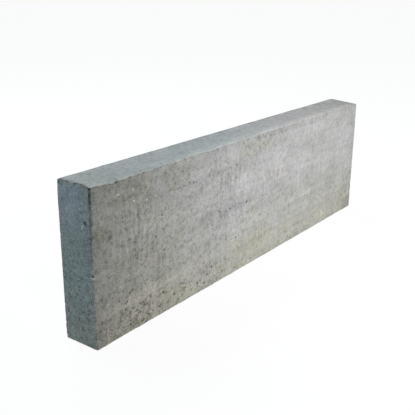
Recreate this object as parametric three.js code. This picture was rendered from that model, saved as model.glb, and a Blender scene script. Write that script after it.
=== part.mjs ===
// Concrete kerb stone, 100 x 30 x 8 cm, pressed in one piece and set on its narrow edge.
//
// Units are millimetres and +Z is up. The origin is the middle of the base. X runs along the
// kerb and Y through its thickness. The front face, which shows above the road, looks along -Y.

import * as THREE from "three";

// Overall size.
const LENGTH = 1000;
const THICKNESS = 80;
const HEIGHT = 300;

// The top front shoulder, eased by the press head so that tyres and shoes do not chip it. Its arc
// leaves the top smoothly and comes down to the front in a crease, SHOULDER_DROP under the top.
const SHOULDER_RADIUS = 10;
const SHOULDER_DROP = 5;

// The other long arrises, as they come from the mould.
const MOULD_RADIUS = 4;

// The arrises round the two ends. They stay under MOULD_RADIUS, so that the corners close.
const END_RADIUS = 3;

// Straight pieces that stand for a quarter circle.
const LONG_ARRIS_FACETS = 12;
const END_ARRIS_FACETS = 6;

// Straight pieces that stand for the shoulder's arc. The one beside the crease has to be longer
// than the stretch of it that the round to the ends takes off, so there are few of them.
const SHOULDER_FACETS = 6;

const QUARTER_TURN = Math.PI / 2;

const CONCRETE_COLOUR = 0xa9a8a2;
const CONCRETE_ROUGHNESS = 0.92;

// Adds one rounded corner to a section that is drawn anticlockwise.
// (across, up) is the square corner and startAngle is where its arc begins.
function addRoundedCorner(section, across, up, radius, startAngle) {
  const towardsMiddleAcross = across > 0 ? -radius : radius;
  const towardsMiddleUp = up > 0 ? -radius : radius;
  section.absarc(
    across + towardsMiddleAcross,
    up + towardsMiddleUp,
    radius,
    startAngle,
    startAngle + QUARTER_TURN,
    false,
  );
}

// Adds the shoulder over the front to a section that is drawn anticlockwise.
function addShoulder(section, front) {
  const turn = Math.acos(1 - SHOULDER_DROP / SHOULDER_RADIUS);
  const reach = SHOULDER_RADIUS * Math.sin(turn);
  const arc = new THREE.EllipseCurve(
    front + reach,
    HEIGHT - SHOULDER_RADIUS,
    SHOULDER_RADIUS,
    SHOULDER_RADIUS,
    QUARTER_TURN,
    QUARTER_TURN + turn,
  );
  for (const point of arc.getPoints(SHOULDER_FACETS)) {
    section.lineTo(point.x, point.y);
  }
}

// The section through the kerb: x is the thickness, with the front on the left, and y is up.
function kerbSection() {
  const front = -THICKNESS / 2;
  const back = THICKNESS / 2;
  const section = new THREE.Shape();
  section.moveTo(front + MOULD_RADIUS, 0);
  addRoundedCorner(section, back, 0, MOULD_RADIUS, -QUARTER_TURN);
  addRoundedCorner(section, back, HEIGHT, MOULD_RADIUS, 0);
  addShoulder(section, front);
  addRoundedCorner(section, front, 0, MOULD_RADIUS, 2 * QUARTER_TURN);
  return section;
}

// The section run along the kerb, with its outline drawn in round each end.
function kerbGeometry() {
  const geometry = new THREE.ExtrudeGeometry(kerbSection(), {
    depth: LENGTH - 2 * END_RADIUS,
    curveSegments: LONG_ARRIS_FACETS / 2,
    bevelEnabled: true,
    bevelThickness: END_RADIUS,
    bevelSize: END_RADIUS,
    bevelOffset: -END_RADIUS,
    bevelSegments: END_ARRIS_FACETS,
  });
  geometry.translate(0, 0, END_RADIUS - LENGTH / 2);
  return geometry;
}

const concrete = new THREE.MeshStandardMaterial({
  color: CONCRETE_COLOUR,
  roughness: CONCRETE_ROUGHNESS,
  metalness: 0,
});

const kerbStone = new THREE.Mesh(kerbGeometry(), concrete);
kerbStone.name = "kerb_stone";

// The section's thickness, height and run become Y, Z and X.
const alongY = new THREE.Vector3(0, 1, 0);
const alongZ = new THREE.Vector3(0, 0, 1);
const alongX = new THREE.Vector3(1, 0, 0);
kerbStone.quaternion.setFromRotationMatrix(
  new THREE.Matrix4().makeBasis(alongY, alongZ, alongX),
);

const kerb = new THREE.Group();
kerb.add(kerbStone);

export default kerb;
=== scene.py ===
"""Looks of the concrete kerb stone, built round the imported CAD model.

The kerb is one casting, so it is one piece. Its mesh follows the CAD shape and adds what the press and the
yard left on it: worn and chipped arrises, the ragged edge of the press skin, pores and shallow waves.
Lengths in the shape code are millimetres, in the CAD model's own frame: X along the kerb, Y through it with
the front at -Y, Z up from the base.
"""

import functools
import itertools
import math

import bpy
import numpy as np
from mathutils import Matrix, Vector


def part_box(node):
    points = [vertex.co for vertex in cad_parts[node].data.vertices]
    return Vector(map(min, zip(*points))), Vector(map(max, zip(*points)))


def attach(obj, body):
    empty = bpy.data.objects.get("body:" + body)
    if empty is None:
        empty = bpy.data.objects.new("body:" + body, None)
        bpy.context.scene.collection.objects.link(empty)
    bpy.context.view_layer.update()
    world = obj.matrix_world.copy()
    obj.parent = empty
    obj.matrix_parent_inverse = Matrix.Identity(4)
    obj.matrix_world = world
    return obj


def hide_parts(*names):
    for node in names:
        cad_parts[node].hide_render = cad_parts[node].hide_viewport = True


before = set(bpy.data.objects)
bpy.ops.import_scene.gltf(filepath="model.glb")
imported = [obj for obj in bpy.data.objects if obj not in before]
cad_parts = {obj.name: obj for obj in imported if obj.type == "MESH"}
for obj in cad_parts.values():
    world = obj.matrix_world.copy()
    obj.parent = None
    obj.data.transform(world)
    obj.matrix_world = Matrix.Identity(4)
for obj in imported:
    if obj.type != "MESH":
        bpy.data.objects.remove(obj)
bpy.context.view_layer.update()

MM = 0.001
TINY = 1e-6  # for comparing two lengths in millimetres

# ---- size, from the CAD model

LOW, HIGH = (np.array(corner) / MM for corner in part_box("kerb_stone"))
MIDDLE = (LOW + HIGH) / 2
HALF = (HIGH - LOW) / 2

# ---- camera

CAMERA_PLACE = (-1.2248, -0.8096, 0.6215)
CAMERA_TURN = (71.159, -0.392, -53.446)  # degrees about X, Y, Z
SENSOR_WIDTH = 36.0
LENS = 58.94


def add_camera():
    data = bpy.data.cameras.new("camera")
    data.sensor_width = SENSOR_WIDTH
    data.lens = LENS
    data.clip_start = 0.05
    data.clip_end = 50.0
    camera = bpy.data.objects.new("camera", data)
    camera.location = CAMERA_PLACE
    camera.rotation_euler = [math.radians(angle) for angle in CAMERA_TURN]
    bpy.context.scene.collection.objects.link(camera)
    bpy.context.scene.camera = camera


# ---- noise

LATTICE = 64


def lattice_values(seed):
    return np.random.default_rng(seed).uniform(-1, 1, (LATTICE, LATTICE, LATTICE))


def value_noise(points, wavelength, seed):
    """Smooth noise from -1 to 1. wavelength is one length, or one for each axis, in millimetres."""
    table = lattice_values(seed)
    cells = points / np.asarray(wavelength, float)
    base = np.floor(cells).astype(int)
    part = cells - base
    part = part * part * (3 - 2 * part)
    total = np.zeros(len(points))
    for corner in itertools.product((0, 1), repeat=3):
        index = (base + corner) % LATTICE
        weight = np.prod(np.where(corner, part, 1 - part), axis=1)
        total += weight * table[index[:, 0], index[:, 1], index[:, 2]]
    return total


def layered_noise(points, wavelength, seed, layers=3, fade=0.5):
    """Noise of several sizes: each layer is half as wide as the one before and fade times as strong."""
    total = np.zeros(len(points))
    strength = 1.0
    for layer in range(layers):
        total += strength * value_noise(points, np.asarray(wavelength, float) / 2**layer, seed + layer)
        strength *= fade
    return total


def smooth_step(low, high, value):
    part = np.clip((value - low) / (high - low), 0, 1)
    return part * part * (3 - 2 * part)


# ---- marks: pores, chips, notches


def mark(place, size, depth, push, pale=0.0, dark=0.0):
    """A hollow: its middle, half-sizes along X, Y and Z, depth, the way it goes in, and its floor's tone."""
    push = np.array(push, float)
    return {
        "place": np.array(place, float),
        "size": np.array(size, float),
        "depth": depth,
        "push": push / np.linalg.norm(push),
        "pale": pale,
        "dark": dark,
    }


FRONT_Y = -HALF[1]
LEFT_X = -HALF[0]
TOP_Z = HIGH[2]

# The pores that stand out on the front: distance from the left end, height, radius and depth.
LARGE_PORES = (
    (15, 93, 2.6, 1.2), (73, 226, 1.8, 1.3), (73, 219, 1.6, 1.0), (77, 64, 4.3, 2.4),
    (86, 80, 2.6, 1.3), (92, 82, 2.4, 1.4), (122, 123, 2.8, 1.5), (125, 41, 3.0, 1.6),
    (131, 40, 2.2, 1.2), (133, 20, 3.4, 1.9), (148, 19, 3.2, 1.7), (169, 44, 2.4, 1.3),
    (185, 42, 2.3, 1.3), (236, 43, 2.8, 1.4), (242, 39, 3.0, 1.5), (249, 36, 2.2, 1.2),
    (288, 24, 3.2, 1.7), (295, 27, 2.6, 1.4), (308, 62, 2.6, 1.3), (335, 43, 3.4, 1.5),
    (385, 90, 2.5, 1.4), (361, 159, 2.5, 1.3), (386, 152, 2.4, 1.3), (400, 154, 2.2, 1.2),
    (366, 208, 2.2, 1.2), (398, 245, 2.2, 1.2), (423, 246, 2.7, 1.4), (424, 82, 2.4, 1.3),
    (436, 191, 2.2, 1.2), (464, 153, 3.0, 1.6), (489, 131, 2.4, 1.2), (520, 108, 2.3, 1.3),
)

PORE_SEED = 41
CHIP_SEED = 57

INWARD = {
    "front": (0, 1, 0),
    "back": (0, -1, 0),
    "left": (1, 0, 0),
    "right": (-1, 0, 0),
    "top": (0, 0, -1),
    "bottom": (0, 0, 1),
}

# How many pores each side has in its mesh, and how dark they may be. The rest are in the material.
PORES_ON_SIDE = {
    "front": (320, 0.9),
    "back": (110, 0.9),
    "left": (20, 0.4),
    "right": (20, 0.9),
    "top": (6, 0.5),
    "bottom": (30, 0.9),
}
SMALLEST_PORE, LARGEST_PORE = 1.0, 2.7  # radii
MANY_SMALL = 2.2  # the higher, the fewer large pores
PORE_SHAPES = (0.65, 1.45)  # half-sizes, as shares of the radius
PORE_DEPTHS = (0.4, 0.7)
PALEST_PORE = 0.1


def pore_density(points):
    """How likely a pore is, from 0 to 1: most low down at the left, along the base and in two lifts."""
    from_left = points[:, 0] - LEFT_X
    height = points[:, 2]
    base = 0.75 * smooth_step(75, 15, height) * smooth_step(-20, 90, from_left)
    left = 0.45 * smooth_step(420, 60, from_left) * smooth_step(-30, 100, from_left)
    left = left * smooth_step(240, 130, height)
    upper_lift = smooth_step(9, 3, abs(height - 244)) * smooth_step(190, 230, from_left)
    upper_lift *= smooth_step(470, 430, from_left)
    lower_lift = smooth_step(9, 3, abs(height - 153)) * smooth_step(330, 360, from_left)
    lower_lift *= smooth_step(540, 490, from_left)
    anywhere = 0.05 * smooth_step(30, 110, from_left)
    return np.clip(anywhere + base * (0.3 + left) + 0.6 * left + upper_lift + lower_lift, 0, 1)


def random_pores():
    draw = np.random.default_rng(PORE_SEED)
    pores = []
    for side, (count, darkest) in PORES_ON_SIDE.items():
        push = np.array(INWARD[side], float)
        across = np.argmax(abs(push))
        found = 0
        while found < count:
            place = LOW + draw.uniform(0, 1, 3) * (HIGH - LOW)
            place[across] = HIGH[across] if push[across] < 0 else LOW[across]
            wanted = draw.uniform()
            radius = SMALLEST_PORE + (LARGEST_PORE - SMALLEST_PORE) * draw.uniform() ** MANY_SMALL
            shape = draw.uniform(*PORE_SHAPES, 3)
            steepness = draw.uniform(*PORE_DEPTHS)
            dark = draw.uniform(PALEST_PORE, darkest) * (1 - 0.5 * smooth_step(-300, 100, place[0]))
            if wanted > pore_density(place[None])[0]:
                continue
            size = radius * shape
            size[across] = radius * 2
            pores.append(mark(place, size, radius * steepness, push, dark=dark))
            found += 1
    return pores


def large_pores():
    into_front = INWARD["front"]
    return [
        mark((LEFT_X + along, FRONT_Y, height), (radius, 2 * radius, radius), depth, into_front, dark=0.9)
        for along, height, radius, depth in LARGE_PORES
    ]


CHIP_SPACING = 30.0
NEAR_CHIP_SPACING = 10.0
CHIP_HALF_LENGTHS, CHIP_HALF_WIDTHS = (1.6, 5.0), (1.4, 3.2)
CHIP_DEPTHS = (0.2, 0.5)  # as shares of the half-width
UPRIGHT_SCALE, END_SCALE = 0.85, 0.7  # of the chips on the end's upright and level arrises


def chips_on_arris(draw, start, end, push, spacing=CHIP_SPACING, scale=1.0):
    """Small breaks scattered along one arris."""
    start, end = np.array(start, float), np.array(end, float)
    length = np.linalg.norm(end - start)
    run = (end - start) / length
    chips = []
    for _ in range(int(length / spacing)):
        place = start + run * draw.uniform(0, length)
        half_length = draw.uniform(*CHIP_HALF_LENGTHS) * scale
        half_width = draw.uniform(*CHIP_HALF_WIDTHS) * scale
        size = np.where(abs(run) > 0.5, half_length, half_width)
        chips.append(mark(place, size, draw.uniform(*CHIP_DEPTHS) * half_width, push, dark=0.2))
    return chips


def arris_chips():
    draw = np.random.default_rng(CHIP_SEED)
    x, y, low, high = HALF[0], HALF[1], LOW[2], HIGH[2]
    chips = []
    for side_y, height in ((-1, low), (1, low), (1, high)):
        push = (0, -side_y, 1 if height == low else -1)
        chips += chips_on_arris(draw, (-x, side_y * y, height), (x, side_y * y, height), push)
    for side_x, side_y in itertools.product((-1, 1), (-1, 1)):
        spacing = NEAR_CHIP_SPACING if (side_x, side_y) == (-1, -1) else CHIP_SPACING
        ends = (side_x * x, side_y * y, low), (side_x * x, side_y * y, high)
        chips += chips_on_arris(draw, *ends, (-side_x, -side_y, 0), spacing, UPRIGHT_SCALE)
    for side_x, height in itertools.product((-1, 1), (low, high)):
        push = (-side_x, 0, 1 if height == low else -1)
        spacing = NEAR_CHIP_SPACING if (side_x, height) == (-1, high) else CHIP_SPACING
        ends = (side_x * x, -y, height), (side_x * x, y, height)
        chips += chips_on_arris(draw, *ends, push, spacing, END_SCALE)
    return chips


# Breaks on the arris between the near end and the front: height, half-height, depth, and how pale.
NEAR_ARRIS_BREAKS = (
    (290, 6.5, 2.4, 0.0), (274, 3.0, 1.0, 0.0), (262, 3.5, 0.8, 0.0), (232, 4.0, 1.2, 0.0),
    (4, 5.0, 1.4, 0.0),
)
# The pale flake on that arris, lower down, and the notch that it broke from: middle, half-sizes and depth.
FLAKE = ((LEFT_X + 0.5, FRONT_Y + 3.2, 136.5), (5.0, 5.4, 1.8), 0.3)
FLAKE_NOTCH = ((LEFT_X + 0.3, FRONT_Y + 3.8, 140.5), (3.2, 4.2, 2.0), 1.4)
CREASE_Z = TOP_Z - 6.2
# Notches under the crease: distance from the left end, half-length and depth.
CREASE_NOTCHES = (
    (33, 4.0, 1.2), (46, 3.0, 1.0), (62, 5.0, 1.9), (96, 4.0, 1.1), (131, 5.0, 1.2), (176, 4.0, 1.0),
)
# Pale grains in the front: distance from the left end, height and radius.
PALE_GRAINS = (
    (64, 270, 2.6), (102, 271, 2.6), (103, 249, 2.8), (137, 243, 2.3), (160, 244, 2.3),
)
# Pale grains in the near end: distance from the front face, height and radius.
PALE_END_GRAINS = ((22, 227, 2.4), (24, 223, 1.9), (59, 251, 2.0), (27, 257, 1.6), (17, 205, 1.5))
# Large pores in the near end: distance from the front face, height, radius and depth.
END_PORES = (
    (17, 233, 4.6, 3.0), (62, 228, 1.8, 1.0), (40, 112, 2.0, 1.1), (20, 64, 2.2, 1.2),
    (50, 90, 1.8, 1.0),
)


def placed_marks():
    """The breaks and grains that the photograph shows one by one."""
    into_end, into_front = INWARD["left"], INWARD["front"]
    marks = [
        mark((LEFT_X, FRONT_Y + 1.5, height), (3.0, 3.6, half), depth, (1, 1, 0), pale, 0.3 * (1 - pale))
        for height, half, depth, pale in NEAR_ARRIS_BREAKS
    ]
    marks.append(mark(*FLAKE, (1, 1, 0), pale=1.0))
    marks.append(mark(*FLAKE_NOTCH, (1, 1, 0), dark=0.8))
    marks += [
        mark((LEFT_X + along, FRONT_Y, CREASE_Z), (half, 3.0, 2.4), depth, (0, 1, -0.2), dark=0.4)
        for along, half, depth in CREASE_NOTCHES
    ]
    marks += [
        mark((LEFT_X + along, FRONT_Y, height), (radius,) * 3, 0.2, into_front, pale=1.0)
        for along, height, radius in PALE_GRAINS
    ]
    marks += [
        mark((LEFT_X, FRONT_Y + through, height), (radius,) * 3, 0.2, into_end, pale=0.7)
        for through, height, radius in PALE_END_GRAINS
    ]
    marks += [
        mark((LEFT_X, FRONT_Y + through, height), (2 * radius, radius, radius), depth, into_end, dark=1.0)
        for through, height, radius, depth in END_PORES
    ]
    return marks


# ---- the mesh: cells

CELL = 10.0  # millimetres, before any cell is cut
UNITS = 16  # lattice units in a cell
UNIT = CELL / UNITS
COUNTS = np.rint((HIGH - LOW) / CELL).astype(int)
SPAN = COUNTS * UNITS

# Each side: the axes that its cells run along, in an order that turns its faces outwards, then its normal.
SIDES = {
    "front": (0, 2, 1, -1),
    "back": (2, 0, 1, 1),
    "left": (2, 1, 0, -1),
    "right": (1, 2, 0, 1),
    "top": (0, 1, 2, 1),
    "bottom": (1, 0, 2, -1),
}
# The widest cell on each side, in millimetres, and the widest by an arris: along it and across it.
WIDEST = {"front": 5.0, "back": 10.0, "left": 5.0, "right": 10.0, "top": 5.0, "bottom": 10.0}
ARRIS_BAND, ARRIS_ALONG, ARRIS_ACROSS = 5.0, 2.5, 1.25
SHOULDER_BAND, SHOULDER_ACROSS = 15.0, 2.5
MARK_CELL, MARK_MARGIN = 1.25, 1.0


def wanted_widths(cells, side, marks):
    """The widest that each cell may be, along the side's two axes. A cell is its low corner and widths."""
    axes = list(SIDES[side][:2])
    across, sign = SIDES[side][2:]
    low = LOW[axes] + cells[:, :2] * UNIT
    high = low + cells[:, 2:] * UNIT
    wanted = np.full((len(cells), 2), WIDEST[side])
    gaps = np.stack([low - LOW[axes], HIGH[axes] - high], 2)
    for axis in (0, 1):
        near = gaps[:, axis].min(1) < ARRIS_BAND
        wanted[near, axis] = ARRIS_ACROSS
        wanted[near, 1 - axis] = np.minimum(wanted[near, 1 - axis], ARRIS_ALONG)
    if side in ("front", "top"):
        shoulder = gaps[:, 1, 1 if side == "front" else 0] < SHOULDER_BAND
        wanted[shoulder, 1] = np.minimum(wanted[shoulder, 1], SHOULDER_ACROSS)
    plane = HIGH[across] if sign > 0 else LOW[across]
    for one in marks:
        size = one["size"] + MARK_MARGIN
        offset = ((plane - one["place"][across]) / size[across]) ** 2
        if offset > 1:
            continue
        gap = np.maximum(np.maximum(low - one["place"][axes], one["place"][axes] - high), 0)
        wanted[((gap / size[axes]) ** 2).sum(1) + offset < 1] = MARK_CELL
    return wanted


def side_cells(side, marks):
    """The cells of a side, cut in halves until each is as fine as it must be."""
    first, second = SIDES[side][:2]
    corners = np.indices((COUNTS[first], COUNTS[second])).reshape(2, -1).T * UNITS
    cells = np.concatenate([corners, np.full_like(corners, UNITS)], 1)
    done = []
    while len(cells):
        too_wide = cells[:, 2:] * UNIT > wanted_widths(cells, side, marks) + TINY
        done.append(cells[~too_wide.any(1)])
        cut = cells[too_wide.any(1)]
        axis = np.where(too_wide[too_wide.any(1), 0], 0, 1)
        rows = np.arange(len(cut))
        lower = cut.copy()
        lower[rows, 2 + axis] //= 2
        upper = lower.copy()
        upper[rows, axis] += lower[rows, 2 + axis]
        cells = np.concatenate([lower, upper])
    return np.concatenate(done)


def key_of(points):
    """One whole number for each lattice point."""
    return (points[..., 0] * (SPAN[1] + 1) + points[..., 1]) * (SPAN[2] + 1) + points[..., 2]


def side_quads(side, marks):
    """The cells of a side as an array of quads of lattice points."""
    first, second, across, sign = SIDES[side]
    cells = side_cells(side, marks)
    quads = np.zeros((len(cells), 4, 3), int)
    for number, (right, up) in enumerate(((0, 0), (1, 0), (1, 1), (0, 1))):
        quads[:, number, first] = cells[:, 0] + right * cells[:, 2]
        quads[:, number, second] = cells[:, 1] + up * cells[:, 3]
    quads[..., across] = SPAN[across] if sign > 0 else 0
    return quads


def ring_of(quad, known):
    """The lattice points round a quad, with those that finer neighbours put on its sides."""
    ring = []
    for start, end in zip(quad, np.roll(quad, -1, axis=0), strict=True):
        length = abs(end - start).max()
        step = (end - start) // length
        for distance in range(length):
            point = start + step * distance
            if distance == 0 or int(key_of(point)) in known:
                ring.append(point)
    return ring


def lattice_faces(marks):
    """Faces as lists of lattice points, each with its side. A cell beside finer ones becomes a fan."""
    quads, sides = [], []
    for side in SIDES:
        found = side_quads(side, marks)
        quads.append(found)
        sides += [side] * len(found)
    quads = np.concatenate(quads)
    corner_keys = np.unique(key_of(quads))
    lengths = abs(np.roll(quads, -1, axis=1) - quads).max(-1)
    steps = np.sign(np.roll(quads, -1, axis=1) - quads)
    has_more = np.zeros(len(quads), bool)
    for distance in range(1, UNITS):
        between = quads + steps * distance
        inside = (lengths > distance) & np.isin(key_of(between), corner_keys)
        has_more |= inside.any(1)
    known = set(corner_keys.tolist())
    faces = [(quad, side) for quad, side, more in zip(quads, sides, has_more, strict=True) if not more]
    for number in np.flatnonzero(has_more):
        quad = quads[number]
        ring = ring_of(quad, known)
        centre = (quad[0] + quad[2]) // 2
        for start, end in zip(ring, ring[1:] + ring[:1], strict=True):
            faces.append((np.array([centre, start, end]), sides[number]))
    return faces


# ---- the mesh: shape

CORE_DEPTH = 28.0  # deeper than any rounding
HALVINGS = 24

# The top front shoulder: an arc from the top down to a ragged crease where the press shoe met the mould.
SHOULDER_RADIUS = 10.0
SHOULDER_DROP = 5.0
MOULD_RADIUS = 3.0
CREASE_RADIUS = 0.9
SHOULDER_SEED, ARRIS_SEED = 11, 17

# The front is worn back towards the near end, over the lower part: how far along it and how far in.
NEAR_WEAR_ALONG = 12.0
NEAR_WEAR_IN = 4.0
NEAR_WEAR_RADIUS = 2.0

# The top is worn down towards its far front corner: how deep, and how far that reaches along and across.
CORNER_WEAR = 6.6
CORNER_WEAR_ALONG = 58.0
CORNER_WEAR_ACROSS = 80.0


def joined(a, b, radius):
    """The greater of two distances, rounded off where they are nearly alike."""
    return np.maximum(a, b) + np.maximum(radius - abs(a - b), 0) ** 2 / (4 * radius)


def crease_drop(points):
    """How far the crease lies under the top, along the kerb. It is lowest and most ragged at the left."""
    flat = points * (1, 0, 0)
    from_left = points[:, 0] - LEFT_X
    left = smooth_step(560, 0, from_left)
    lowest = 1.2 * smooth_step(300, 100, from_left) * smooth_step(30, 60, from_left)
    lowest = lowest - 1.6 * smooth_step(60, 25, from_left)
    lowest = lowest - 0.9 * smooth_step(180, 215, from_left) * smooth_step(330, 290, from_left)
    slow = layered_noise(flat, 46, SHOULDER_SEED, 2)
    ragged = layered_noise(flat, 11, SHOULDER_SEED + 5, 2)
    return SHOULDER_DROP + lowest + (0.4 + 0.6 * left) * (0.8 * slow + 1.1 * ragged)


def corner_wear(points):
    along = (HIGH[0] - points[:, 0]) / CORNER_WEAR_ALONG
    across = (points[:, 1] - FRONT_Y) / CORNER_WEAR_ACROSS
    return CORNER_WEAR * (1 - along - across)


def long_radius(points):
    """The rounding of the nearest long arris. The crease at the top front is nearly sharp."""
    plain = MOULD_RADIUS + 0.7 * layered_noise(points * (1, 0, 0), 30, ARRIS_SEED)
    at_shoulder = (points[:, 1] < MIDDLE[1]) & (points[:, 2] > MIDDLE[2])
    return np.where(at_shoulder, CREASE_RADIUS, plain)


def near_wear(points):
    """How far points are outside the plane that the front is worn back to, beside the near end."""
    height = points[:, 2]
    reach = smooth_step(4, 26, height) * smooth_step(222, 180, height)
    reach = reach * (0.85 + 0.3 * layered_noise(points * (0, 0, 1), 34, ARRIS_SEED + 9, 2))
    along = (points[:, 0] - LEFT_X) / NEAR_WEAR_ALONG
    inwards = (points[:, 1] - FRONT_Y) / NEAR_WEAR_IN
    return (reach - along - inwards) / math.hypot(1 / NEAR_WEAR_ALONG, 1 / NEAR_WEAR_IN)


def end_radius(points):
    """The rounding at the ends: tightest beside the front, widest along the worn top of the near end."""
    front = smooth_step(MIDDLE[1], FRONT_Y, points[:, 1])
    near_top = smooth_step(270, TOP_Z, points[:, 2]) * smooth_step(FRONT_Y, -20, points[:, 1])
    near_top = near_top * (points[:, 0] < 0)
    wander = layered_noise(points * (0, 1, 1), 24, ARRIS_SEED + 5, 2)
    return 1.9 - 0.9 * front + 1.6 * near_top + 0.3 * wander


def shape_values(points):
    """What outside_by needs to know at each point, worked out once."""
    drop = crease_drop(points)
    middle_z = TOP_Z - SHOULDER_RADIUS
    middle_y = FRONT_Y + np.sqrt(SHOULDER_RADIUS**2 - (SHOULDER_RADIUS - drop) ** 2)
    return {
        "long": long_radius(points),
        "end": end_radius(points),
        "shoulder": (middle_y, middle_z),
    }


def outside_section(points, values):
    """How far points are outside the worn section, which runs along the kerb. It is below zero inside."""
    beyond = abs(points - MIDDLE) - HALF
    radius = values["long"]
    y = beyond[:, 1] + radius
    z = beyond[:, 2] + radius
    section = np.hypot(np.maximum(y, 0), np.maximum(z, 0)) + np.minimum(np.maximum(y, z), 0) - radius
    middle_y, middle_z = values["shoulder"]
    arc = np.hypot(points[:, 1] - middle_y, points[:, 2] - middle_z) - SHOULDER_RADIUS
    by_arc = (points[:, 1] < middle_y) & (points[:, 2] > middle_z)
    section = np.where(by_arc, joined(section, arc, CREASE_RADIUS), section)
    section = joined(section, points[:, 2] - TOP_Z + corner_wear(points), CREASE_RADIUS)
    return joined(section, near_wear(points), NEAR_WEAR_RADIUS)


def outside_by(points, values):
    """How far points are outside the worn block. It is below zero inside."""
    radius = values["end"]
    s = outside_section(points, values) + radius
    x = abs(points[:, 0] - MIDDLE[0]) - HALF[0] + radius
    return np.hypot(np.maximum(s, 0), np.maximum(x, 0)) + np.minimum(np.maximum(s, x), 0) - radius


def rounded(points):
    """Moves the points of the sharp block onto the rounded one, along lines from its core."""
    core = np.clip(points, LOW + CORE_DEPTH, HIGH - CORE_DEPTH)
    values = shape_values(points)
    low, high = np.zeros(len(points)), np.ones(len(points))
    for _ in range(HALVINGS):
        part = (low + high) / 2
        out = outside_by(core + (points - core) * part[:, None], values) > 0
        high = np.where(out, part, high)
        low = np.where(out, low, part)
    on_flat = outside_by(points, values) < TINY
    part = np.where(on_flat, 1.0, low)
    return core + (points - core) * part[:, None]


def inward_normals(points):
    """The way into the block at each point of its surface."""
    values = shape_values(points)
    step = 0.05
    slopes = []
    for axis in range(3):
        move = np.zeros(3)
        move[axis] = step
        slopes.append(outside_by(points + move, values) - outside_by(points - move, values))
    outward = np.stack(slopes, 1)
    return -outward / np.linalg.norm(outward, axis=1, keepdims=True)


SKIN_STEP = 0.55
WAVE_SEED, ROUGH_SEED, PORE_EDGE_SEED, BACK_EDGE_SEED = 29, 31, 37, 43
BACK_STRIP = 8.0


def under_crease(points):
    """How far points are below the crease at the foot of the shoulder."""
    front_corner = points * (1, 0, 0) + (0, FRONT_Y, 0)
    drop = np.maximum(crease_drop(points), corner_wear(front_corner))
    return TOP_Z - drop - points[:, 2]


def into_back_strip(points):
    """How far points are inside the rough strip that the press shoe left along the top's back arris."""
    ragged = layered_noise(points * (1, 0, 0), 22, BACK_EDGE_SEED)
    return points[:, 1] - HIGH[1] + BACK_STRIP * (0.75 + 0.35 * ragged)


def hollowed(points, marks):
    """How far the marks move each point, and how dark and how pale they make it, each from 0 to 1."""
    move = np.zeros_like(points)
    pit = np.zeros(len(points))
    pale = np.zeros(len(points))
    ragged = 1 + 0.28 * value_noise(points, 1.9, PORE_EDGE_SEED)
    for one in marks:
        reach = one["size"].max() * 1.5
        near = np.flatnonzero((abs(points - one["place"]) < reach).all(1))
        distance = np.sqrt((((points[near] - one["place"]) / one["size"]) ** 2).sum(1)) * ragged[near]
        share = np.clip(1 - distance**2, 0, 1) ** 0.8
        deeper = one["depth"] * share > np.linalg.norm(move[near], axis=1)
        move[near[deeper]] = (one["depth"] * share[deeper])[:, None] * one["push"]
        pit[near] = np.maximum(pit[near], share * one["dark"])
        pale[near] = np.maximum(pale[near], share * one["pale"])
    return move, pit, pale


def shaped(points, marks):
    """The sharp block's points in their final places, with the values that the material reads."""
    surface = rounded(points)
    inward = inward_normals(surface)
    below = under_crease(surface)
    inside_strip = into_back_strip(surface)
    on_end = smooth_step(1.6, 0.6, HALF[0] - abs(surface[:, 0]))
    skin = smooth_step(0.7, -0.7, below) * (1 - on_end)
    strip = smooth_step(-0.8, 0.8, inside_strip) * skin
    wave = 0.2 + 0.18 * layered_noise(surface, (170, 120, 90), WAVE_SEED, 2)
    rough = 0.14 + 0.13 * layered_noise(surface, 11, ROUGH_SEED)
    front = smooth_step(FRONT_Y + 14, FRONT_Y + 4, surface[:, 1])
    step = SKIN_STEP * front * smooth_step(-0.4, 0.8, below) * smooth_step(24, 2, below)
    depth = np.clip(wave * (1 - 0.6 * skin) + rough * (1 - 0.8 * skin) + step + 0.5 * strip, 0, None)
    move, pit, pale = hollowed(surface, marks)
    values = {
        "pit": pit,
        "pale": pale,
        "under_crease": below,
        "into_strip": inside_strip,
        "from_outline": -outside_section(surface, shape_values(surface)),
    }
    return surface + inward * depth[:, None] + move, values


# ---- the mesh: its flat map, for baking

# Where each side lies on the square map: left, bottom, width and height, as shares of it. Then the axes of
# the kerb that run across it and up it.
MAP_PLACES = {
    "front": (0.0, 0.64, 1.0, 0.35, 0, 2),
    "back": (0.0, 0.32, 1.0, 0.31, 0, 2),
    "top": (0.0, 0.215, 1.0, 0.095, 0, 1),
    "bottom": (0.0, 0.11, 1.0, 0.095, 0, 1),
    "left": (0.0, 0.005, 0.49, 0.095, 2, 1),
    "right": (0.51, 0.005, 0.49, 0.095, 2, 1),
}


def map_points(lattice, side):
    left, bottom, width, height, across, up = MAP_PLACES[side]
    u = left + width * lattice[:, across] / SPAN[across]
    v = bottom + height * lattice[:, up] / SPAN[up]
    return np.stack([u, v], 1)


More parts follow.
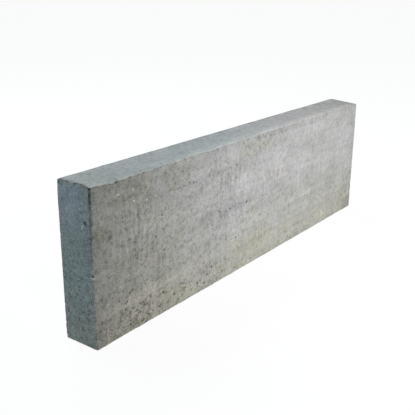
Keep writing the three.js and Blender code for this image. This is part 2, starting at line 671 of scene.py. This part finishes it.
def build_kerb():
    marks = large_pores() + random_pores() + arris_chips() + placed_marks()
    faces = lattice_faces(marks)
    loops = np.concatenate([corners for corners, _ in faces])
    keys, first_use, numbers = np.unique(key_of(loops), return_index=True, return_inverse=True)
    lattice = loops[first_use]
    points, values = shaped(LOW + lattice * UNIT, marks)
    sizes = np.array([len(corners) for corners, _ in faces])
    starts = np.concatenate([[0], np.cumsum(sizes)[:-1]])

    mesh = bpy.data.meshes.new("kerb_stone_detailed")
    mesh.vertices.add(len(keys))
    mesh.vertices.foreach_set("co", (points * MM).astype(np.float32).ravel())
    mesh.loops.add(len(loops))
    mesh.loops.foreach_set("vertex_index", numbers.astype(np.int32).ravel())
    mesh.polygons.add(len(faces))
    mesh.polygons.foreach_set("loop_start", starts.astype(np.int32))
    mesh.polygons.foreach_set("use_smooth", np.ones(len(faces), bool))
    for name, value in values.items():
        mesh.attributes.new(name, "FLOAT", "POINT").data.foreach_set("value", value.astype(np.float32))
    side_of_loop = np.repeat([side for _, side in faces], sizes)
    flat_map = np.zeros((len(loops), 2))
    for side in SIDES:
        here = side_of_loop == side
        flat_map[here] = map_points(loops[here], side)
    mesh.uv_layers.new(name="OFBake").uv.foreach_set("vector", flat_map.astype(np.float32).ravel())
    mesh.update(calc_edges=True)
    mesh.validate(verbose=False)
    kerb = bpy.data.objects.new("kerb_stone_detailed", mesh)
    bpy.context.scene.collection.objects.link(kerb)
    return kerb


# ---- materials: the node tree

NOISE_GAIN = 2.6  # spreads Blender's noise, which stays near 0.5, to about -1 to 1
# Where a patch ends and where it is whole, as shares of its half size.
PATCH_OUTSIDE, PATCH_INSIDE = 1.35, 0.65


class Value:
    """An output of a node. Each + - or * of it adds a Math node."""

    def __init__(self, nodes, socket):
        self.nodes = nodes
        self.socket = socket

    def __add__(self, other):
        return self.nodes.math("ADD", self, other)

    def __sub__(self, other):
        return self.nodes.math("SUBTRACT", self, other)

    def __rsub__(self, other):
        return self.nodes.math("SUBTRACT", other, self)

    def __mul__(self, other):
        return self.nodes.math("MULTIPLY", self, other)

    __radd__, __rmul__ = __add__, __mul__


class Nodes:
    """Builds the node tree of a material or a world. Below, n is always one of these."""

    def __init__(self, owner):
        owner.use_nodes = True
        self.tree = owner.node_tree
        self.tree.nodes.clear()

    def node(self, kind, inputs=None, **settings):
        node = self.tree.nodes.new("ShaderNode" + kind)
        for name, value in settings.items():
            setattr(node, name, value)
        for name, value in (inputs or {}).items():
            if isinstance(value, Value):
                self.tree.links.new(value.socket, node.inputs[name])
            else:
                node.inputs[name].default_value = value
        return node

    def add(self, kind, inputs=None, output=0, **settings):
        """Adds a node and gives its first output, or the one that output names."""
        return Value(self, self.node(kind, inputs, **settings).outputs[output])

    def math(self, operation, *values, **settings):
        return self.add("Math", dict(enumerate(values)), operation=operation, **settings)

    def greatest(self, *values):
        return functools.reduce(functools.partial(self.math, "MAXIMUM"), values)

    def vector(self, operation, inputs, output=0):
        return self.add("VectorMath", inputs, output, operation=operation)

    def ease(self, value, low, high, to_low=0.0, to_high=1.0):
        """Goes smoothly from to_low at low to to_high at high."""
        if low > high:
            low, high, to_low, to_high = high, low, to_high, to_low
        inputs = dict(enumerate((value, low, high, to_low, to_high)))
        return self.add("MapRange", inputs, interpolation_type="SMOOTHSTEP")

    def measured(self, place, length, shift=(0, 0, 0)):
        """A place in units of length, which is one length, or one for each axis."""
        scale = tuple(1 / np.broadcast_to(length, 3))
        return self.add("Mapping", {"Vector": place, "Scale": scale, "Location": shift})

    def blend(self, factor, a, b):
        return self.add("Mix", {0: factor, 6: a, 7: b}, 2, data_type="RGBA")


class Surface(Nodes):
    """A node tree that knows where a point of the kerb is, and masks of its areas, each from 0 to 1."""

    def __init__(self, owner):
        super().__init__(owner)
        self.place = self.measured(self.add("TexCoord", output="Object"), MM)
        axes = self.node("SeparateXYZ", {"Vector": self.place}).outputs
        self.x, self.y, self.z = (Value(self, axis) for axis in axes)
        self.from_end = self.math("SUBTRACT", HALF[0], self.math("ABSOLUTE", self.x))
        self.on_front = self.through(FRONT_Y + 7.0, FRONT_Y + 4.0)
        self.near_end = self.along(LEFT_X + 3.0, LEFT_X + 1.4)
        self.arris_noise = self.noise((6, 6, 9), 3.0, 0.7, (1, 1, 6))
        self.from_rim = self.stored("from_outline") + 3.0 * self.arris_noise
        self.patch_edges = 0.8 * self.noise(14, 3.0, 0.6, (5, 2, 7))
        self.shaken = self.shaken_place(4.0, 1.1)
        self.set_skin()
        self.set_roughness()

    def along(self, *ends):
        """ease() between two places along the kerb. The next two do the same through it and up it."""
        return self.ease(self.x, *ends)

    def through(self, *ends):
        return self.ease(self.y, *ends)

    def height(self, *ends):
        return self.ease(self.z, *ends)

    def stored(self, name):
        """A value that the mesh holds for each of its points."""
        return self.add("Attribute", output="Fac", attribute_name=name)

    def noise(self, wavelength, detail=2.0, roughness=0.5, shift=(0, 0, 0)):
        """Noise from about -1 to 1. wavelength is one length, or one for each axis, in millimetres."""
        at = self.measured(self.place, wavelength, shift)
        inputs = {"Vector": at, "Scale": 1.0, "Detail": detail, "Roughness": roughness}
        return NOISE_GAIN * (self.add("TexNoise", inputs, "Fac") - 0.5)

    def shaken_place(self, wavelength, reach):
        """The same place, moved a little each way, so that what is drawn there has ragged edges."""
        at = self.measured(self.place, wavelength)
        noise = self.add("TexNoise", {"Vector": at, "Scale": 1.0, "Detail": 0.0}, "Color")
        move = self.vector("SUBTRACT", {0: noise, 1: (0.5, 0.5, 0.5)})
        move = self.vector("SCALE", {0: move, "Scale": 4 * reach})
        return self.vector("ADD", {0: self.place, 1: move})

    def spots(self, spacing, largest, share, shift=(0, 0, 0)):
        """Ragged spots scattered at random. largest is a radius, share how many cells have a spot."""
        at = self.measured(self.shaken, spacing, shift)
        cells = self.node("TexVoronoi", {"Vector": at, "Scale": 1.0}, feature="F1").outputs
        chance = self.add("SeparateColor", {"Color": Value(self, cells["Color"])}, "Red")
        size = self.math("SUBTRACT", chance, 1.0 - share, use_clamp=True)
        radius = self.math("POWER", size, 0.5) * (1.6 * largest / spacing)
        return self.ease(radius - Value(self, cells["Distance"]), 0.0, 0.9 * largest / spacing)

    def patch(self, middle, half):
        """1 in an oval of half size half around middle, fading to 0 over a ragged edge."""
        moved = self.vector("SUBTRACT", {0: self.place, 1: middle})
        distance = self.vector("LENGTH", {0: self.vector("DIVIDE", {0: moved, 1: half})}, "Value")
        return self.ease(distance + self.patch_edges, PATCH_OUTSIDE, PATCH_INSIDE)

    def patches(self, side, rows):
        """A patch for each row of a table: its middle and half sizes, along the side's two axes."""
        first, second, across, sign = SIDES[side]
        for row in rows:
            middle, half = [0.0] * 3, [ANY_DEPTH] * 3
            middle[across] = HIGH[across] if sign > 0 else LOW[across]
            middle[first], middle[second], half[first], half[second] = row[:4]
            yield self.patch(middle, half)

    def patch_tone(self, side, rows):
        """The change of tone in a side's patches. It is the last value of each row."""
        return sum(patch * row[-1] for patch, row in zip(self.patches(side, rows), rows, strict=True))

    def set_skin(self):
        """The smooth skin under the press shoe. It has broken away in a ragged line along its edges."""
        ragged = 1.3 * self.noise(3.5, 2.0, 0.6, (3, 3, 3))
        self.under_crease = self.stored("under_crease")
        self.below = self.under_crease + ragged
        broken = 6.0 * self.arris_noise + self.through(-28, -35, 5.0, -4.0)
        to_end = self.ease(self.from_end - broken, -0.7, 0.7)
        self.skin = self.ease(self.below, 0.4, -0.4) * to_end
        self.strip = self.ease(self.stored("into_strip") + ragged, -0.6, 0.6) * self.skin
        self.bare = 1.0 - self.skin
        at_top = self.height(TOP_Z - 3.5, TOP_Z - 1.5)
        # The broken top by the near end is drawn darker and in the end's colours: partly worn bare concrete,
        # partly painted shade of its slope.
        self.broken_top_and_shade = self.bare * at_top * self.along(-480, -490)

    def set_roughness(self):
        """How rough each place is: most at the left end, less to the right and on the pressed top."""
        self.fading = self.along(-500, 450, 1.0, 0.6)
        pressed = self.along(-250, 450, -0.22, 0.06) + self.through(-5, 30, 0.0, 0.35)
        self.rough = self.greatest(self.fading + self.skin * pressed, 1.3 * self.strip)
        low_left = self.along(40, -400) * self.height(200, 20, 0.3, 1.0)
        self.open_grain = low_left * self.bare * self.along(-500, -430, 0.5, 1.0)
        self.lower_right = self.height(180, 90) * self.along(0, 200) * self.on_front
        self.cloudy = self.noise(100, 3.0, 0.82)
        self.grain = self.math("SMOOTH_MIN", self.noise(8.5, 3.0, 0.80, (9, 2, 4)), 0.12, 0.25) + 0.08
        on_top = self.skin * self.through(-20, 30, -0.75, -0.45)
        sandy = self.along(-500, 200, 1.0, 0.28) * (1.0 + on_top)
        self.sand = self.noise(2.6, 1.0, 0.7, (2, 6, 8)) * sandy


# ---- materials: the concrete


def grey(level):
    return (level, level, level, 1.0)


CONCRETE = (0.481, 0.487, 0.496, 1.0)
MAUVE_CONCRETE = (0.485, 0.478, 0.498, 1.0)
WARM_CONCRETE = (0.508, 0.497, 0.463, 1.0)
BROWN_CONCRETE = (0.522, 0.492, 0.440, 1.0)
PRESSED_CONCRETE = (0.507, 0.493, 0.478, 1.0)
OLIVE_STAIN = (0.474, 0.472, 0.386, 1.0)
# The teal and blue over the near end are partly a film and partly painted cool shade, as that end is in
# shade.
BLUE_FILM_AND_COOL_SHADE = (0.393, 0.486, 0.540, 1.0)
TEAL_FILM_AND_COOL_SHADE = (0.394, 0.492, 0.504, 1.0)
GREEN_FILM = (0.430, 0.480, 0.468, 1.0)
VIOLET_FILM = (0.418, 0.480, 0.524, 1.0)

ANY_DEPTH = 30.0  # a patch's half size into the kerb
DARKEST_TONE = 0.12

# Where the photograph shows the front darker or lighter: distance along from the middle, height,
# the patch's half sizes along and up, and the change of tone.
FRONT_PATCHES = (
    (97, 232, 32, 20, 0.05), (480, 110, 26, 130, -0.06), (430, 225, 28, 26, -0.04),
    (75, 112, 26, 16, -0.07), (-260, 266, 90, 13, -0.05), (-390, 90, 70, 14, 0.07),
    (-280, 281, 230, 11, -0.08), (20, 275, 66, 17, -0.09), (225, 291, 230, 9, -0.07),
    (-350, 258, 60, 28, -0.09), (-475, 190, 34, 44, -0.08), (-425, 200, 30, 26, -0.07),
    (-485, 282, 30, 20, -0.11), (-330, 238, 70, 18, -0.07), (-492, 96, 24, 78, -0.09),
    (-492, 172, 16, 24, 0.08), (-490, 38, 18, 20, -0.08), (-488, 250, 18, 20, -0.05),
    (-170, 190, 66, 16, 0.06), (-195, 214, 50, 12, -0.06), (-350, 62, 90, 16, 0.06),
    (-180, 92, 60, 14, -0.05), (320, 120, 50, 34, -0.05), (440, 12, 26, 10, -0.06),
    (-40, 200, 48, 24, 0.06), (100, 190, 26, 15, 0.06), (195, 202, 80, 15, 0.04),
    (-130, 155, 110, 11, -0.08), (95, 160, 50, 12, -0.07), (220, 158, 70, 9, -0.04),
    (-220, 62, 90, 18, 0.05), (-185, 46, 38, 11, -0.16), (-145, 26, 24, 9, 0.06),
    (-35, 98, 56, 46, 0.06), (-60, 22, 50, 16, 0.08), (-375, 11, 24, 10, 0.12),
    (-275, 11, 24, 10, 0.13), (125, 37, 24, 12, -0.09), (60, 290, 46, 8, -0.10),
    (260, 289, 66, 8, -0.07), (75, 284, 30, 10, -0.05), (-175, 70, 24, 60, -0.04),
)
# The same for the near end: height, distance back from the middle, half sizes up and back, and the change.
END_PATCHES = (
    (262, 12, 34, 24, 0.10), (287, 7, 11, 22, 0.15), (37, 15, 12, 10, -0.08), (142, -32, 64, 16, -0.12),
    (150, 28, 42, 20, -0.09), (86, 30, 14, 12, 0.09),
)
# The same for the top: distances along and back, half sizes along and back, and the change.
TOP_PATCHES = (
    (-375, 28, 26, 24, -0.06), (20, 34, 34, 14, 0.09), (-250, 0, 50, 34, 0.05),
)
# Where it shows rows of pores in the front: distance along from the middle, height, and half sizes.
PORE_PATCHES = (
    (-172, 243, 112, 5), (-75, 153, 76, 5), (5, 273, 58, 18), (-370, 35, 80, 28), (-240, 22, 110, 15),
)
# Where it shows the front stained, in the same way.
STAIN_PATCHES = (
    (-300, 34, 44, 26), (-255, 12, 60, 12), (-45, 30, 50, 34), (30, 38, 42, 36), (150, 26, 46, 22),
    (330, 32, 34, 26), (430, 40, 24, 26), (-42, 266, 16, 18), (24, 275, 44, 10), (-486, 212, 18, 14),
)
# Where it shows the front combed by the mould, in the same way.
COMB_PATCHES = (
    (-115, 214, 80, 26), (-385, 178, 70, 58), (60, 190, 60, 34),
)
# Places of their own: middle and half sizes.
BACK_CORNER = ((LEFT_X + 3, 36, TOP_Z - 1), (9, 9, 6))
VIOLET_PLACE = ((LEFT_X, -34, 186), (ANY_DEPTH, 15, 56))
BROWN_PLACE = ((-430, FRONT_Y, 25), (150, ANY_DEPTH, 50))


def surface_hollows(n):
    """Ragged voids between the grains, and pores, specks and blots, most of them where the grain is open."""
    more_voids = n.noise(45, 2.0, 0.5, (4, 4, 9))
    near_base = n.height(70, 10) * n.bare
    level = 0.30 * more_voids + 0.22 * n.open_grain + 0.08 * near_base - 0.62
    hollow_noise = n.noise((6.5, 6.5, 4.5), 2.0, 0.55, (4, 7, 2))
    voids = n.ease(level - hollow_noise, -0.04, 0.18) * n.bare
    few = n.ease(more_voids, -0.5, 0.6, 0.0, 0.14)
    rows = n.greatest(*n.patches("front", PORE_PATCHES)) * n.on_front
    many = few + 0.20 * n.open_grain + 0.12 * near_base + 0.42 * rows
    share = many * n.bare * n.along(-500, -430, 0.35, 1.0)
    deeper = n.along(-250, 200, 1.0, 0.6)
    pores = n.spots(9.0, 3.3, share) * deeper
    specks = n.spots(5.0, 1.7, 1.2 * share + 0.05, (5, 5, 5)) * deeper
    blots = n.spots(17.0, 5.0, 1.5 * share + 0.12, (3, 1, 7))
    return voids, pores, specks, blots


def grain_tone(n):
    """Clouds, grain and sand."""
    clouded = n.along(0, 400, 0.23, 0.46) + 0.12 * n.open_grain + 0.08 * n.near_end
    clouded += n.skin * n.along(-100, 300, 0.10, -0.14) + 0.22 * n.lower_right
    grainy = 0.73 + 0.12 * n.lower_right + n.near_end * n.height(190, 110, 0.0, 0.32)
    sandy = 0.36 + 0.16 * n.near_end
    return n.cloudy * n.rough * clouded + n.grain * n.rough * grainy + n.sand * sandy


def mould_tone(n):
    """Upright streaks and combing from the mould, and the level lifts that the mix went in by."""
    streaks = n.noise((11, 40, 110), 2.0, 0.8, (2, 5, 1))
    streaked = n.ease(n.noise((150, 90, 110), 1.0, 0.5, (6, 3, 2)), -0.2, 0.5, 0.15, 0.8)
    comb = n.noise((8, 40, 60), 2.0, 0.7, (5, 5, 1))
    combed = n.greatest(*n.patches("front", COMB_PATCHES)) * n.on_front
    upright = 0.30 * streaks * streaked + 0.52 * comb * combed
    lifts = n.noise((200, 160, 14), 2.0, 0.7, (1, 8, 3))
    lifted = n.bare * n.ease(n.from_end, 1.0, 2.5) * n.along(-200, 0, 0.12, 0.15)
    return n.bare * n.fading * upright + lifts * (lifted + 0.05 * n.open_grain)


def mark_tone(n, hollows):
    """The dark of hollows, partly dirt and partly painted shade in them, and white and pale grains."""
    voids, pores, specks, blots = hollows
    blotted = 0.20 * n.bare + 0.12 * n.open_grain + 0.10 * n.lower_right
    dark = 0.55 * voids + 0.62 * pores + 0.42 * specks + blots * blotted
    dark += 0.58 * n.ease(n.stored("pit"), 0.0, 0.6)
    pale = 0.75 * n.ease(n.stored("pale"), 0.0, 0.5) + 0.30 * n.spots(14, 1.7, 0.12, (7, 1, 2))
    return pale - dark


def edge_tone(n):
    """Painted highlight and painted shadow along the ragged edge of the press skin, and the darker edges of
    the front.
    """
    rim_highlight = n.skin * n.ease(n.below, -3.4, -0.8) * n.through(-30, -37)
    shadow = n.bare * n.ease(n.below, 4.0, 0.8) * n.ease(n.below, 0.0, 0.6) * n.on_front
    # Painted light at the crease: a highlight on the skin's lower edge and a shadow just under it.
    crease_highlight_and_shadow = n.along(150, -250, 0.35, 1.0) * (0.14 * rim_highlight - 0.16 * shadow)
    # The broken top's darkening is partly painted shade.
    broken = 0.20 * n.strip + 0.30 * n.broken_top_and_shade + 0.25 * n.patch(*BACK_CORNER)
    by_arris = n.along(-480, -496, 0.0, 0.10)
    by_base = 0.09 * n.height(28, 6) * n.along(-50, 50)
    return crease_highlight_and_shadow - broken - n.bare * n.on_front * (by_arris + by_base)


def end_tone(n):
    """The near end: its patches, and a dark line of painted shade on the rough upper part of its front
    arris.
    """
    beside_front = n.through(-24, -30) * n.ease(n.under_crease, -1.0, 3.0) * n.bare
    line = n.ease(n.math("ABSOLUTE", n.from_rim - 2.2), 4.2, 1.8)
    strength = n.height(185, 205, 0.0, 0.15) + n.height(262, 276, 0.0, 0.38)
    dark = n.ease(n.from_rim, 6.0, 1.0, 0.0, 0.07) + beside_front * line * strength
    return n.near_end * (n.patch_tone("left", END_PATCHES) - dark)


def skin_tone(n):
    """The pressed skin: its patches, a painted highlight on the shoulder, painted shade on its arc further
    right, and a darker right end.
    """
    # On the shoulder's arc, painted highlight by the near end and painted shade further right; the band just
    # behind the arc gets painted highlight too.
    on_shoulder = n.through(-33, -38)
    changes = (
        n.patch_tone("top", TOP_PATCHES),
        n.through(-20, -30) * n.along(-440, -360) * n.along(480, 250, 0.038, 0.095),
        on_shoulder * n.along(-370, -430, 0.0, 0.32),
        on_shoulder * n.along(-320, 150, 0.0, -0.11),
        n.through(10, -15) * n.along(-150, 100) * n.along(280, 80, 0.0, 0.05),
        n.through(-15, 10) * n.along(300, 450, 0.0, -0.06),
        n.through(30, -10) * n.along(440, 490, 0.0, -0.18),
        n.along(-370, -420, 0.0, 0.05),
        n.along(-500, -260, 0.04, 0.0),
        n.along(200, 450, 0.0, -0.06),
    )
    return n.skin * sum(changes)


def concrete_tone(n, hollows):
    """How light each place is, beside its plain colour."""
    tone = 1.0 + grain_tone(n) + mould_tone(n) + mark_tone(n, hollows)
    tone += edge_tone(n) + end_tone(n) + skin_tone(n)
    tone += n.patch_tone("front", FRONT_PATCHES) * n.on_front * n.bare
    near_left = n.along(-240, -500) * n.height(40, 260, 0.12, -0.06)
    # Painted light: the front a little lighter towards the right, where more light falls on it.
    painted_light_right = n.along(-250, 350, 0.0, 0.035)
    lower_half = n.height(160, 30) * n.along(-250, 200, 0.07, -0.10)
    front = n.on_front * (near_left + painted_light_right + lower_half)
    return n.greatest(tone, DARKEST_TONE) * (1.0 + front)


def end_colour(n):
    """The near end: a coat over its middle, green low down and blue at the top, partly real and partly
    painted cool shade, as the end stands in shade; violet by the front.
    """
    bluish_share = n.ease(n.from_rim, 2.0, 8.0) * n.through(-36, -14, 0.45, 1.0) * n.height(0, 150, 0.2, 1.0)
    colour = n.blend(bluish_share, GREEN_FILM, n.blend(n.height(200, 245), TEAL_FILM_AND_COOL_SHADE, BLUE_FILM_AND_COOL_SHADE))
    return n.blend(n.patch(*VIOLET_PLACE), colour, VIOLET_FILM)


def bare_colour(n):
    """Grey, warmer where it is dark, at the left and low down, with mauve, brown and olive places."""
    clouds = n.cloudy + 0.7 * n.noise(24, 2.0, 0.5, (7, 7, 7))
    lower = n.height(190, 5, 0.0, 0.55) * (1.0 - n.near_end)
    left = 0.85 * n.along(-60, -480) * n.on_front
    warm = n.math("SUBTRACT", left + lower + 0.05, 0.7 * clouds, use_clamp=True)
    mauve_noise = n.ease(n.noise((90, 60, 60), 2.0, 0.6, (3, 9, 6)), -0.5, 0.4, 0.2, 0.9)
    mauve = n.height(130, 165) * n.height(268, 235) * n.on_front * mauve_noise
    colour = n.blend(warm, n.blend(mauve, CONCRETE, MAUVE_CONCRETE), WARM_CONCRETE)
    colour = n.blend(n.patch(*BROWN_PLACE) * n.on_front, colour, BROWN_CONCRETE)
    stain_noise = n.ease(n.noise((60, 60, 34), 4.0, 0.75, (2, 9, 5)), -0.5, 0.4, 0.15, 1.0)
    run = n.height(80, 12) * n.along(-160, -60, 0.15, 0.5)
    spread = n.greatest(*n.patches("front", STAIN_PATCHES)) * n.height(120, 240, 0.85, 0.5)
    return n.blend(n.greatest(run, spread) * stain_noise * n.on_front, colour, OLIVE_STAIN)


def skin_colour(n):
    """The pressed skin: green over its left part, a little olive at the near end, warmer to the right."""
    colour = n.blend(n.along(-250, 450, 0.15, 1.0), CONCRETE, PRESSED_CONCRETE)
    colour = n.blend(n.along(150, -150, 0.0, 0.48), colour, GREEN_FILM)
    return n.blend(n.along(-360, -460, 0.0, 0.18), colour, OLIVE_STAIN)


def concrete_material():
    material = bpy.data.materials.new("pressed_concrete")
    n = Surface(material)
    hollows = surface_hollows(n)
    voids, pores, specks, _ = hollows
    like_end = n.greatest(n.near_end, n.broken_top_and_shade)
    colour = n.blend(n.skin, n.blend(like_end, bare_colour(n), end_colour(n)), skin_colour(n))
    relief = 1.1 * n.grain * n.rough + 0.3 * n.sand - 0.9 * voids - 1.1 * pores - 0.6 * specks
    inputs = {
        "Base Color": n.vector("SCALE", {0: colour, "Scale": concrete_tone(n, hollows)}),
        "Roughness": 0.87 + 0.10 * n.grain - 0.07 * n.skin + 0.05 * pores,
        "Normal": n.add("Bump", {"Height": relief, "Strength": 1.0, "Distance": MM}),
        "Specular IOR Level": 0.3,
    }
    n.node("OutputMaterial", {"Surface": n.add("BsdfPrincipled", inputs)})
    return material


# ---- floor and light

FLOOR_COLOUR = (0.36, 0.34, 0.31, 1.0)
FLOOR_HALF = 40.0
FLOOR_GLOW = 0.93  # the floor's own white, seen directly
FLOOR_SHADE = grey(0.12)  # how much light and shadow on it change that
SKY = (0.214, 0.253, 0.268, 1.0)


def seen_directly(n):
    """1 where the camera, or a mirror or glass, sees the surface, and 0 where light bounces off it."""
    path = n.node("LightPath").outputs
    kinds = ("Is Camera Ray", "Is Glossy Ray", "Is Transmission Ray")
    return n.greatest(*(Value(n, path[kind]) for kind in kinds))


def floor_material():
    material = bpy.data.materials.new("studio_floor")
    n = Nodes(material)
    plain = n.add("BsdfDiffuse", {"Color": FLOOR_COLOUR})
    shaded = n.add("BsdfDiffuse", {"Color": FLOOR_SHADE})
    glow = n.add("Emission", {"Color": grey(1.0), "Strength": FLOOR_GLOW})
    seen = n.add("AddShader", {0: shaded, 1: glow})
    both = n.add("MixShader", {0: seen_directly(n), 1: plain, 2: seen})
    n.node("OutputMaterial", {"Surface": both})
    return material


def add_floor():
    half = FLOOR_HALF
    mesh = bpy.data.meshes.new("floor")
    corners = [(-half, -half, 0), (half, -half, 0), (half, half, 0), (-half, half, 0)]
    mesh.from_pydata(corners, [], [(0, 1, 2, 3)])
    mesh.materials.append(floor_material())
    floor = bpy.data.objects.new("floor", mesh)
    bpy.context.scene.collection.objects.link(floor)


def set_world():
    world = bpy.data.worlds.new("sky")
    n = Nodes(world)
    light = n.add("Background", {"Color": SKY, "Strength": 1.0})
    white = n.add("Background", {"Color": grey(1.0), "Strength": 1.0})
    both = n.add("MixShader", {0: seen_directly(n), 1: light, 2: white})
    n.node("OutputWorld", {"Surface": both})
    bpy.context.scene.world = world


def aim(lamp, place, target):
    lamp.location = place
    way = np.array(target, float) - np.array(place, float)
    across = math.atan2(-way[0], way[1])
    lamp.rotation_euler = (math.acos(-way[2] / np.linalg.norm(way)), 0.0, across)
    bpy.context.scene.collection.objects.link(lamp)


KEY_PLACE = (-1.40, -2.75, 0.90)
KEY_TARGET = (0.72, -0.04, 0.22)
KEY_REACH = 1.44  # metres from its middle to where it fades out, at the kerb
KEY_POWER = 408.0
KEY_COLOUR = (1.0, 0.972, 0.932)
KEY_RADIUS = 0.35
TOP_PLACE = (0.1, 1.7, 2.3)
TOP_TARGET = (0.0, 0.0, 0.1)
TOP_WIDTH, TOP_DEPTH = 2.4, 1.6
TOP_POWER = 32.0
TOP_COLOUR = (0.943, 0.95, 1.0)


def add_lamps():
    distance = np.linalg.norm(np.array(KEY_TARGET) - np.array(KEY_PLACE))
    key = bpy.data.lights.new("key", "SPOT")
    key.energy = KEY_POWER
    key.color = KEY_COLOUR
    key.spot_size = 2 * math.atan(KEY_REACH / distance)
    key.spot_blend = 1.0
    key.shadow_soft_size = KEY_RADIUS
    aim(bpy.data.objects.new("key", key), KEY_PLACE, KEY_TARGET)
    top = bpy.data.lights.new("overhead", "AREA")
    top.shape = "RECTANGLE"
    top.size = TOP_WIDTH
    top.size_y = TOP_DEPTH
    top.energy = TOP_POWER
    top.color = TOP_COLOUR
    aim(bpy.data.objects.new("overhead", top), TOP_PLACE, TOP_TARGET)


# ---- put together

bpy.context.scene.view_settings.view_transform = "Standard"
add_camera()
set_world()
add_floor()
add_lamps()

kerb = build_kerb()
kerb.data.materials.append(concrete_material())
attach(kerb, "root")
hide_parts("kerb_stone")
